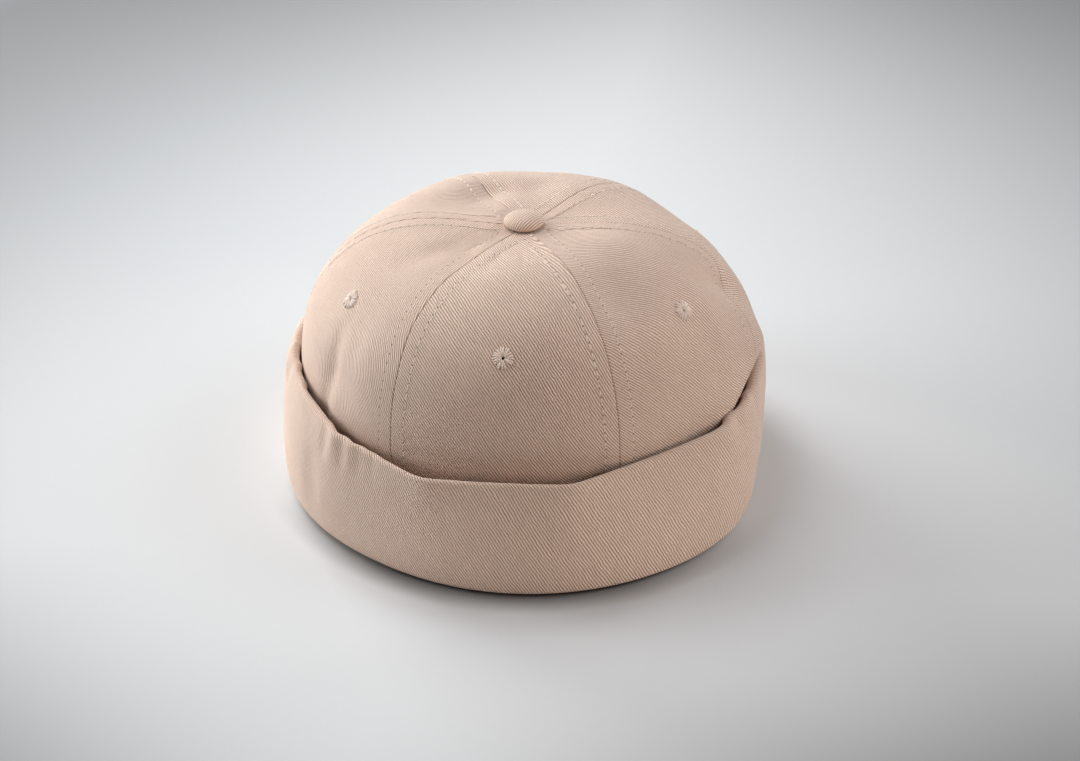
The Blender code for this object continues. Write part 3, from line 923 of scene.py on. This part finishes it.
def lip_thickness(azimuth):
    """Thickness of the fold at the lip, as far as there is room between it and the crown."""
    rolls = np.array(LIP_ROLLS, float)
    wanted = np.interp(azimuth, rolls[:, 0], rolls[:, 1], period=360)
    grid = crown_face(azimuth[:, None], np.linspace(0.5, 1.5, LIP_SAMPLES))
    radius, height = np.hypot(grid[..., 0], grid[..., 1]), grid[..., 2]
    lip_radius, lip_height = lip(azimuth)
    beside = np.abs(height - lip_height[:, None] + LIP_ROOM_DOWN) < LIP_ROOM_SPAN
    room = lip_radius - np.where(beside, radius, 0).max(1) - LIP_GAP
    return np.clip(wanted, None, np.maximum(room, LIP_THINNEST))


def cuff_section(azimuth):
    """Radii and heights of the cuff's cloth at each azimuth: out over the foot, up the outer layer, over
    the lip and down the inner layer."""
    lip_height = lip(azimuth)[1]
    heel = CUFF_HEIGHT * read_sections(FEET, "heel", azimuth)
    hem = hem_radius(azimuth) - CLOTH
    corner = hem + HEM_ROUND
    flat = rim_radius(azimuth) - HEEL_ROUND
    low = heel / lip_height
    thickness = lip_thickness(azimuth)
    round_lip = thickness / 2
    roll = LIP_ROLL + LIP_ROLL_SHARE * thickness
    high = 1 - roll / lip_height
    out = cuff_face(azimuth, low)[0] - flat
    spots = [(hem, HEM_LEDGE), (hem, HEM_ROUND * 0.8), (corner, 0.0)]
    spots += [((corner + flat) / 2, 0.0), (flat, 0.0)]
    for bend in np.radians(np.arange(10, 90, 10)):
        spots.append((flat + out * np.sin(bend), heel * (1 - np.cos(bend))))
    for step in np.linspace(0, 1, OUTER_ROWS):
        share = low + (high - low) * step
        radius, height = cuff_face(azimuth, share)
        spots.append((radius + cuff_relief(azimuth, share), height))
    roll_radius, roll_height = spots[-1]
    middle = roll_radius - round_lip
    for bend in np.radians(np.arange(15, 180, 15)):
        spots.append((middle + round_lip * np.cos(bend), roll_height + roll * np.sin(bend)))
    for step in np.linspace(0, 1, INNER_ROWS) ** INNER_SPACING:
        share = high + (HEM_LEDGE * 2 / lip_height - high) * step
        radius, height = cuff_face(azimuth, share)
        wall = CUFF_WALL + (thickness - CUFF_WALL) * (share / high) ** LAYERS_MEET
        spots.append((radius + cuff_relief(azimuth, share) - wall, height))
    return spots


def make_cuff(material):
    """Band of cloth folded over at the lip: one closed sheet, with a thin space between its layers."""
    azimuth = np.linspace(-180, 180, CUFF_COLUMNS + 1)
    spots = cuff_section(azimuth)
    radius = np.array([np.broadcast_to(spot[0], azimuth.shape) for spot in spots])
    height = np.array([np.broadcast_to(spot[1], azimuth.shape) for spot in spots])
    over = np.stack([np.gradient(radius, axis=0), np.gradient(height, axis=0)], -1)
    over /= np.linalg.norm(over, axis=-1, keepdims=True)
    last = len(spots) - 1
    keep = np.concatenate([[0, 3], np.arange(5, last, 4), [last]])[::-1]
    inner_radius = radius[keep] - CUFF_CLOTH * over[keep, :, 1]
    inner_height = np.maximum(height[keep] + CUFF_CLOTH * over[keep, :, 0], CUFF_CLOTH * 0.6)
    all_height = np.concatenate([height, inner_height])
    points = polar(azimuth, np.concatenate([radius, inner_radius]), all_height)
    steps = np.hypot(np.diff(radius, axis=0), np.diff(height, axis=0)).mean(1)
    length = np.concatenate([[0.0], np.cumsum(steps)])
    length = np.concatenate([length, length[keep]])
    around = np.radians(azimuth) * (RIM_WIDTH + RIM_DEPTH) / 4
    weave = turned(*np.broadcast_arrays(around, length[:, None]), CUFF_GRAIN) * TWILL_PITCH / CUFF_PITCH
    rows = len(weave)
    faces = loop_faces(rows, CUFF_COLUMNS, closed=True)
    map_faces = loop_faces(rows, CUFF_COLUMNS, closed=True, doubled=True)
    weave = weave.reshape(-1, 2)
    maps = {"cloth": weave, "seam": np.full_like(weave, NO_SEAM)}
    return mesh_object("cuff_cloth", points[:, :-1].reshape(-1, 3), faces, material, maps, map_faces)


def tube(centres, up, half_width, half_height, ring):
    """Points and faces of a closed tube: rings of an oval cross-section along centres."""
    forward = np.gradient(centres, axis=0)
    forward /= np.linalg.norm(forward, axis=-1, keepdims=True)
    side = np.cross(forward, up)
    side /= np.linalg.norm(side, axis=-1, keepdims=True)
    turns = TURN * (np.arange(ring)[:, None] + 0.5) / ring
    wide = np.cos(turns) * np.reshape(half_width, (-1, 1, 1))
    high = np.sin(turns) * np.reshape(half_height, (-1, 1, 1))
    points = centres[:, None] + side[:, None] * wide + np.cross(side, forward)[:, None] * high
    return points.reshape(-1, 3), tube_faces(len(centres), ring)


def tube_map(lengths, ring):
    """Coordinates of a tube's points: the length along it, and the share of a turn round it."""
    return np.stack([np.repeat(lengths, ring), np.tile(np.arange(ring) / ring, len(lengths))], -1)


def joined(name, tubes, material, maps):
    """One object from many tubes."""
    points, faces, first = [], [], 0
    for spots, quads in tubes:
        points.append(spots)
        faces += [tuple(index + first for index in face) for face in quads]
        first += len(spots)
    return mesh_object(name, np.concatenate(points), faces, material, {"cloth": np.concatenate(maps)})


def make_stitches(cloth, row, tubes, maps):
    """Stitches of one row: each goes down at its ends, where it meets the next one."""
    rng = np.random.default_rng(row.seed + 100)
    for stitch in range(int(row.lengths[-1] / STITCH_PITCH)):
        along = (stitch + STITCH_FIRST + STITCH_SHARE * STITCH_PLACES) * STITCH_PITCH
        level = row.level(along)
        azimuth = row.azimuth(level) + rng.normal() * STITCH_STRAY
        loose = STITCH_LOOSE * math.exp(-along[0] / STITCH_LOOSE_FADE)
        centres = cloth.point(azimuth, level, STITCH_HEIGHTS * rng.uniform(0.85, 1.15) + loose)
        normal = outward(crown_face, azimuth, level)
        tubes.append(tube(centres, normal, STITCH_WIDTHS, STITCH_WIDTHS * STITCH_FLATNESS, STITCH_SIDES))
        maps.append(tube_map(along, STITCH_SIDES))


def make_eyelet(cloth, thread):
    """Sewn eyelet: satin stitches laid out from a small hole, over a ring that lies in the cloth."""
    azimuth, level = cloth.panel.eyelet_azimuth, cloth.panel.eyelet_level
    spot_azimuth, spot_level = np.array([azimuth], float), np.array([level], float)
    around, down = (vector[0] for vector in tangents(crown_face, spot_azimuth, spot_level))
    degree, depth = np.linalg.norm(around), np.linalg.norm(down)
    hole, flange = EYELET_HOLE / 2, EYELET_WIDTH / 2
    rng = np.random.default_rng(EYELET_SEED + cloth.index)
    tubes, maps = [], []

    def on_cloth(radius, turn, height):
        x, y = radius * np.cos(turn), radius * np.sin(turn)
        a, lev = azimuth + x / degree, level + y / depth
        base = crown_face(a, lev)
        return base + outward(crown_face, a, lev) * np.reshape(height, (-1, 1))

    inner = hole * EYELET_INNER
    for strand in range(EYELET_STRANDS):
        turn = TURN * (strand + rng.uniform(-STRAND_STRAY, STRAND_STRAY)) / EYELET_STRANDS
        reach = flange * rng.uniform(*STRAND_REACHES)
        radius = inner + (reach - inner) * STRAND_PLACES
        height = STRAND_HEIGHTS * rng.uniform(*STRAND_RISES)
        wide = np.minimum(STRAND_SHARE * TURN * radius / EYELET_STRANDS, STRAND_WIDEST)
        wide = wide * rng.uniform(*STRAND_BREADTHS)
        bend = turn + rng.uniform(-STRAND_BEND, STRAND_BEND) * STRAND_PLACES
        centres = on_cloth(radius, bend, height)
        up = on_cloth(radius, bend, height + STRAND_UP) - centres
        high = np.maximum(wide * STRAND_FLATNESS, STRAND_THINNEST)
        tubes.append(tube(centres, up, wide, high, STRAND_SIDES))
        maps.append(tube_map(radius, STRAND_SIDES))
    radius, height = EYELET_RING.T
    turns = TURN * np.arange(EYELET_SIDES) / EYELET_SIDES
    points = [on_cloth(radius, np.full_like(radius, turn), height) for turn in turns]
    ring = len(radius)
    tubes.append((np.concatenate(points), loop_faces(EYELET_SIDES, ring, closed=True)))
    lengths = np.tile(np.arange(ring) / ring, EYELET_SIDES) * EYELET_MAP_LENGTH
    maps.append(np.stack([lengths, np.repeat(np.arange(EYELET_SIDES) / EYELET_SIDES, ring)], -1))
    return joined(f"eyelet_thread_{cloth.panel.name}", tubes, thread, maps)


def make_button(material):
    """Button covered with cloth, with the small tucks that gather the cloth round its edge."""
    seat, shank = BUTTON_TOP - BUTTON_HEIGHT, BUTTON_SHANK / 2
    profile = [(BUTTON_TIP * 2, BUTTON_FOOT), (shank, BUTTON_FOOT), (shank, seat - BUTTON_LIP * 2)]
    profile += [(BUTTON_RIM * 0.80, seat - BUTTON_LIP), (BUTTON_RIM * 0.90, seat + BUTTON_LIP)]
    for bend in np.radians(np.linspace(-BUTTON_TURN_IN, 90, BUTTON_ROWS)):
        rise = (1 - BUTTON_EDGE) if bend > 0 else BUTTON_EDGE / math.sin(math.radians(BUTTON_TURN_IN))
        out = max(BUTTON_RIM * np.cos(bend) ** BUTTON_FULLNESS, BUTTON_TIP)
        profile.append((out, seat + BUTTON_HEIGHT * (BUTTON_EDGE + rise * np.sin(bend))))
    radius, height = np.array(profile).T[:, :, None]
    turns = TURN * np.arange(BUTTON_SIDES) / BUTTON_SIDES
    edge = np.exp(-(((height - seat - TUCK_HEIGHT) / TUCK_SPAN) ** 2)) * (radius > BUTTON_RIM * 0.75)
    tucks = waves(turns * TUCK_COUNT, TUCK_SEED, TUCK_WAVE) * TUCK_LIFT * edge
    rim = np.stack([np.cos(turns), np.sin(turns), turns * 0], -1)
    bulge = BULGE_LIFT * swells(rim, BULGE_SEED, BULGE_WAVE)
    points = polar(np.degrees(turns), radius + tucks + bulge * (radius > shank), height)
    lengths = lengths_along(np.array(profile))
    length = (lengths[-1] - lengths)[:, None]
    weave = turned((length * np.sin(turns)).ravel(), (-length * np.cos(turns)).ravel(), BUTTON_GRAIN)
    maps = {"cloth": weave, "seam": np.full_like(weave, NO_SEAM)}
    faces = tube_faces(len(profile), BUTTON_SIDES)
    return mesh_object("button_cloth", points.reshape(-1, 3), faces, material, maps)


class Shader:
    """Material with a Principled BSDF, and short calls that add its other nodes."""

    def __init__(self, name, roughness, sheen):
        self.material = bpy.data.materials.new(name)
        self.material.use_nodes = True
        self.tree = self.material.node_tree
        self.surface = self.tree.nodes["Principled BSDF"]
        self.surface.inputs["Roughness"].default_value = roughness
        self.surface.inputs["Sheen Weight"].default_value = sheen
        self.surface.inputs["Sheen Roughness"].default_value = SHEEN_ROUGHNESS
        self.surface.inputs["Specular IOR Level"].default_value = SPECULAR_LEVEL

    def node(self, kind, **settings):
        made = self.tree.nodes.new(kind)
        for key, setting in settings.items():
            setattr(made, key, setting)
        return made

    def plug(self, socket, value):
        if isinstance(value, bpy.types.NodeSocket):
            self.tree.links.new(value, socket)
        else:
            socket.default_value = value

    def math(self, operation, *values, clamp=False):
        made = self.node("ShaderNodeMath", operation=operation, use_clamp=clamp)
        for socket, value in zip(made.inputs, values):
            self.plug(socket, value)
        return made.outputs[0]

    def add(self, first, second, clamp=False):
        return self.math("ADD", first, second, clamp=clamp)

    def take(self, first, second, clamp=False):
        return self.math("SUBTRACT", first, second, clamp=clamp)

    def times(self, first, second):
        return self.math("MULTIPLY", first, second)

    def over(self, first, second):
        return self.math("DIVIDE", first, second)

    def power(self, first, second):
        return self.math("POWER", first, second)

    def place(self, name):
        """The two coordinates of one of the mesh's maps."""
        split = self.node("ShaderNodeSeparateXYZ")
        self.plug(split.inputs[0], self.node("ShaderNodeUVMap", uv_map=name).outputs[0])
        return split.outputs[0], split.outputs[1]

    def away(self, share):
        """How far a share is from one half: 0 there and 1 at 0 and at 1."""
        return self.times(self.math("ABSOLUTE", self.take(share, 0.5)), 2.0)

    def noise(self, x, y, scale, detail=2.0):
        spot = self.node("ShaderNodeCombineXYZ")
        self.plug(spot.inputs[0], x)
        self.plug(spot.inputs[1], y)
        made = self.node("ShaderNodeTexNoise")
        self.plug(made.inputs["Vector"], spot.outputs[0])
        self.plug(made.inputs["Scale"], scale)
        self.plug(made.inputs["Detail"], detail)
        return made.outputs["Fac"]

    def bell(self, value, middle, width):
        """1 where value is at middle, falling to 0 over about one width."""
        offset = self.over(self.take(value, middle), width)
        return self.power(math.e, self.times(self.times(offset, offset), -1.0))

    def grey(self, value):
        """A grey colour of the given value."""
        made = self.node("ShaderNodeCombineColor")
        for socket in made.inputs:
            self.plug(socket, value)
        return made.outputs[0]

    def mix(self, share, first, second, blend="MIX"):
        made = self.node("ShaderNodeMix", data_type="RGBA", blend_type=blend)
        self.plug(made.inputs["Factor"], share)
        self.plug(made.inputs["A"], first)
        self.plug(made.inputs["B"], second)
        return made.outputs["Result"]

    def finish(self, colour, height, distance):
        bump = self.node("ShaderNodeBump")
        self.plug(bump.inputs["Height"], height)
        bump.inputs["Distance"].default_value = distance
        bump.inputs["Strength"].default_value = 1.0
        self.plug(self.surface.inputs["Normal"], bump.outputs[0])
        self.plug(self.surface.inputs["Base Color"], colour)
        return self.material


def twill(name):
    """Twill: slanting ribs of short floats and uneven yarn, with painted shade in rib valleys, needle holes
    and seams.
    """
    shader = Shader(name, TWILL_ROUGHNESS, TWILL_SHEEN)
    add, take, times = shader.add, shader.take, shader.times
    across, along = shader.place("cloth")
    distance, down_seam = shader.place("seam")
    drift = times(take(shader.noise(across, along, DRIFT_SCALE), 0.5), RIB_DRIFT)
    wobble = times(take(shader.noise(across, along, WOBBLE_SCALE), 0.5), RIB_WOBBLE)
    rib = shader.over(across, TWILL_PITCH)
    phase = add(add(rib, drift), wobble)
    crest = take(1.0, shader.power(shader.away(shader.math("FRACT", phase)), RIB_CREST))
    stagger = times(shader.math("FLOOR", phase), FLOAT_STAGGER)
    floats = shader.math("FRACT", add(shader.over(along, TWILL_PITCH * FLOAT_LENGTH), stagger))
    beat = shader.power(shader.away(floats), FLOAT_CREST)
    bead = times(crest, take(1.0, times(beat, FLOAT_DEPTH)))
    yarn = shader.noise(across, along, YARN_SCALE, 3.0)
    uneven = shader.noise(rib, times(along, UNEVEN_SCALE), 1.0)
    down_hole = shader.bell(shader.math("PINGPONG", down_seam, STITCH_PITCH / 2), 0.0, HOLE_LENGTH)
    hole = times(shader.bell(distance, STITCH_ROW, HOLE_WIDTH), down_hole)
    groove = shader.bell(distance, 0.0, GROOVE_WIDTH)
    height = take(add(bead, times(yarn, YARN_HEIGHT)), times(hole, HOLE_DEPTH))
    # Colour: painted shade in the ribs' valleys and at the floats' ends, mixed with the yarn's own uneven
    # tone.
    shade_and_tone = add(times(bead, 1 - YARN_TONE), times(add(yarn, uneven), YARN_TONE), clamp=True)
    colour = shader.mix(shade_and_tone, TWILL_SHADED, TWILL_LIGHT)
    patch = add(times(take(shader.noise(across, along, PATCH_SCALE, 3.0), 0.5), PATCH_TONE), 1.0)
    colour = shader.mix(1.0, colour, shader.grey(patch), "MULTIPLY")
    # Painted shade in the needle holes and in the seam's groove.
    shade = take(1.0, add(times(hole, HOLE_SHADE), times(groove, GROOVE_SHADE)), clamp=True)
    colour = shader.mix(1.0, colour, shader.grey(shade), "MULTIPLY")
    return shader.finish(colour, height, RIB_HEIGHT)


def sewing_thread(name, light, dark):
    """Twisted sewing thread with a soft sheen, and painted shade in the grooves of its twist."""
    shader = Shader(name, THREAD_ROUGHNESS, THREAD_SHEEN)
    along, around = shader.place("cloth")
    turn = shader.add(shader.over(along, THREAD_TWIST), shader.times(around, THREAD_PLIES))
    ply = shader.math("ABSOLUTE", shader.take(shader.math("FRACT", turn), 0.5))
    fuzz = shader.noise(shader.times(along, FUZZ_ALONG), shader.times(around, FUZZ_AROUND), 1.0)
    # Painted shade in the grooves of the twist, mixed with the thread's own uneven fuzz.
    shade_and_tone = shader.add(shader.times(ply, PLY_SHADE), shader.times(fuzz, FUZZ_TONE), clamp=True)
    return shader.finish(shader.mix(shade_and_tone, dark, light), ply, THREAD_RELIEF)


def make_floor():
    """Pale floor with a painted pool of light, and painted contact shade along the front of the hat."""
    mesh = bpy.data.meshes.new("floor")
    body = bmesh.new()
    bmesh.ops.create_circle(body, cap_ends=True, segments=FLOOR_SIDES, radius=FLOOR_RADIUS)
    body.to_mesh(mesh)
    body.free()
    shader = Shader("floor_paper_painted_light", FLOOR_ROUGHNESS, 0.0)
    add, take, times, power = shader.add, shader.take, shader.times, shader.power

    def reach(place, length):
        """How far a place lies on the length's side, as a share of it, or 0 on the other side."""
        return shader.math("MAXIMUM", shader.over(place, length), 0.0)

    coordinates = shader.node("ShaderNodeTexCoord").outputs["Object"]
    split = shader.node("ShaderNodeSeparateXYZ")
    shader.plug(split.inputs[0], coordinates)
    x, y = split.outputs[0], split.outputs[1]
    # Painted pool of light: the floor's colour falls off away from its brightest part.
    spread = shader.math("MAXIMUM", add(times(y, FLOOR_SPREAD), 1.0), FLOOR_SPREAD_LEAST)
    across = shader.over(take(take(x, FLOOR_CENTRE[0]), times(y, FLOOR_SKEW)), spread)
    away = take(y, FLOOR_CENTRE[1])
    side = add(reach(across, -FLOOR_REACH_LEFT), reach(across, FLOOR_REACH_RIGHT))
    depth = add(reach(away, -FLOOR_REACH_FRONT), reach(away, FLOOR_REACH_BACK))
    far = add(power(depth, FLOOR_POWER), power(side, FLOOR_POWER))
    fall = add(power(far, FLOOR_FALL / FLOOR_POWER), 1.0)
    grain = shader.node("ShaderNodeTexNoise")
    shader.plug(grain.inputs["Vector"], coordinates)
    grain.inputs["Scale"].default_value = PAPER_SCALE
    grey = add(times(take(grain.outputs["Fac"], 0.5), PAPER_TONE), FLOOR_WHITE)
    paper_painted_light = shader.math("MAXIMUM", shader.over(grey, fall), FLOOR_DARKEST)
    # Painted contact shade: the floor's colour darkens close to the hat along its front.
    near = shader.node("ShaderNodeAmbientOcclusion", samples=CONTACT_SAMPLES, only_local=False)
    near.inputs["Distance"].default_value = CONTACT_REACH
    facing = add(shader.over(y, -CONTACT_FADE), CONTACT_START / CONTACT_FADE, clamp=True)
    dark = times(take(1.0, power(near.outputs["AO"], CONTACT_DEPTH)), facing)
    paper_painted_light = times(paper_painted_light, take(1.0, dark))
    mesh.materials.append(shader.finish(shader.grey(paper_painted_light), grain.outputs["Fac"], PAPER_RELIEF))
    floor = bpy.data.objects.new("floor", mesh)
    bpy.context.scene.collection.objects.link(floor)


def direction(azimuth, elevation):
    """Unit vector that points to an azimuth and an elevation."""
    turn, rise = math.radians(azimuth), math.radians(elevation)
    return math.sin(turn) * math.cos(rise), -math.cos(turn) * math.cos(rise), math.sin(rise)


def aim(item, place, target):
    """Puts a lamp or camera at a place and turns it to a target."""
    item.location = place
    item.rotation_euler = (Vector(target) - Vector(place)).to_track_quat("-Z", "Y").to_euler()
    bpy.context.scene.collection.objects.link(item)
    return item


def make_light():
    """Large soft boxes all round, brightest from behind on the left. The grey room gives no light."""
    target = Vector(LIGHT_TARGET)
    for lamp in LAMPS:
        data = bpy.data.lights.new(lamp.name, "AREA")
        data.size = LIGHT_SIZE
        data.energy = lamp.power
        data.color = lamp.colour
        out = Vector(direction(lamp.azimuth, lamp.elevation))
        aim(bpy.data.objects.new(lamp.name, data), target + out * LIGHT_DISTANCE, target)
    world = bpy.data.worlds.new("studio")
    world.use_nodes = True
    room = world.node_tree.nodes["Background"]
    room.inputs["Color"].default_value = (ROOM_GREY, ROOM_GREY, ROOM_GREY, 1.0)
    for rays in ("diffuse", "glossy", "transmission", "scatter"):
        setattr(world.cycles_visibility, rays, False)
    bpy.context.scene.world = world


def make_camera():
    """Camera at the photograph's angle."""
    azimuth = math.radians(CAMERA_AZIMUTH)
    back = Vector(direction(CAMERA_AZIMUTH, CAMERA_ELEVATION))
    aside = Vector((math.cos(azimuth), math.sin(azimuth), 0.0))
    target = Vector((0.0, 0.0, CAMERA_TARGET_HEIGHT)) + aside * CAMERA_TARGET_ASIDE
    data = bpy.data.cameras.new("camera")
    data.lens = CAMERA_LENS
    data.sensor_width = CAMERA_SENSOR
    data.clip_start, data.clip_end = CAMERA_CLIP
    camera = aim(bpy.data.objects.new("camera", data), target + back * CAMERA_DISTANCE, target)
    bpy.context.scene.camera = camera


def cut_hole(item, cloth):
    """Cuts the eyelet's hole through a panel."""
    azimuth, level = np.array([cloth.panel.eyelet_azimuth], float), np.array([cloth.panel.eyelet_level])
    spot, normal = crown_face(azimuth, level)[0], outward(crown_face, azimuth, level)[0]
    bpy.ops.mesh.primitive_cylinder_add(vertices=CUT_SIDES, radius=CUT_RADIUS, depth=CUT_DEPTH)
    cutter = bpy.context.object
    cutter.rotation_mode = "QUATERNION"
    cutter.rotation_quaternion = Vector(normal).to_track_quat("Z", "Y")
    cutter.location = spot
    cut = item.modifiers.new("hole", "BOOLEAN")
    cut.object = cutter
    cut.operation = "DIFFERENCE"
    bpy.context.view_layer.update()
    mesh = bpy.data.meshes.new_from_object(item.evaluated_get(bpy.context.evaluated_depsgraph_get()))
    item.modifiers.clear()
    item.data = mesh
    bpy.data.objects.remove(cutter)


def main():
    make_camera()
    crown_twill, cuff_twill, button_twill = (twill(f"{part}_twill") for part in ("crown", "cuff", "button"))
    thread = sewing_thread("thread", THREAD_LIGHT, THREAD_SHADED)
    eyelet_thread = sewing_thread("eyelet_thread", EYELET_LIGHT, EYELET_SHADED)
    for index, panel in enumerate(PANELS):
        cloth = PanelCloth(index)
        item, flat, area = make_panel(cloth, crown_twill)
        cut_hole(item, cloth)
        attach(item, "root")
        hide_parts(f"crown_panel_{panel.name}")
        tubes, maps = [], []
        for row in cloth.rows:
            make_stitches(cloth, row, tubes, maps)
        stitches = joined(f"topstitch_{panel.name}", tubes, thread, maps)
        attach(stitches, "root")
        eyelet = make_eyelet(cloth, eyelet_thread)
        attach(eyelet, "root")
        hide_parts(f"eyelet_{panel.name}")
    cuff = make_cuff(cuff_twill)
    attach(cuff, "root")
    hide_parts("cuff")
    button = make_button(button_twill)
    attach(button, "root")
    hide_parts("top_button")
    make_floor()
    make_light()
    bpy.context.scene.view_settings.view_transform = "Standard"


main()
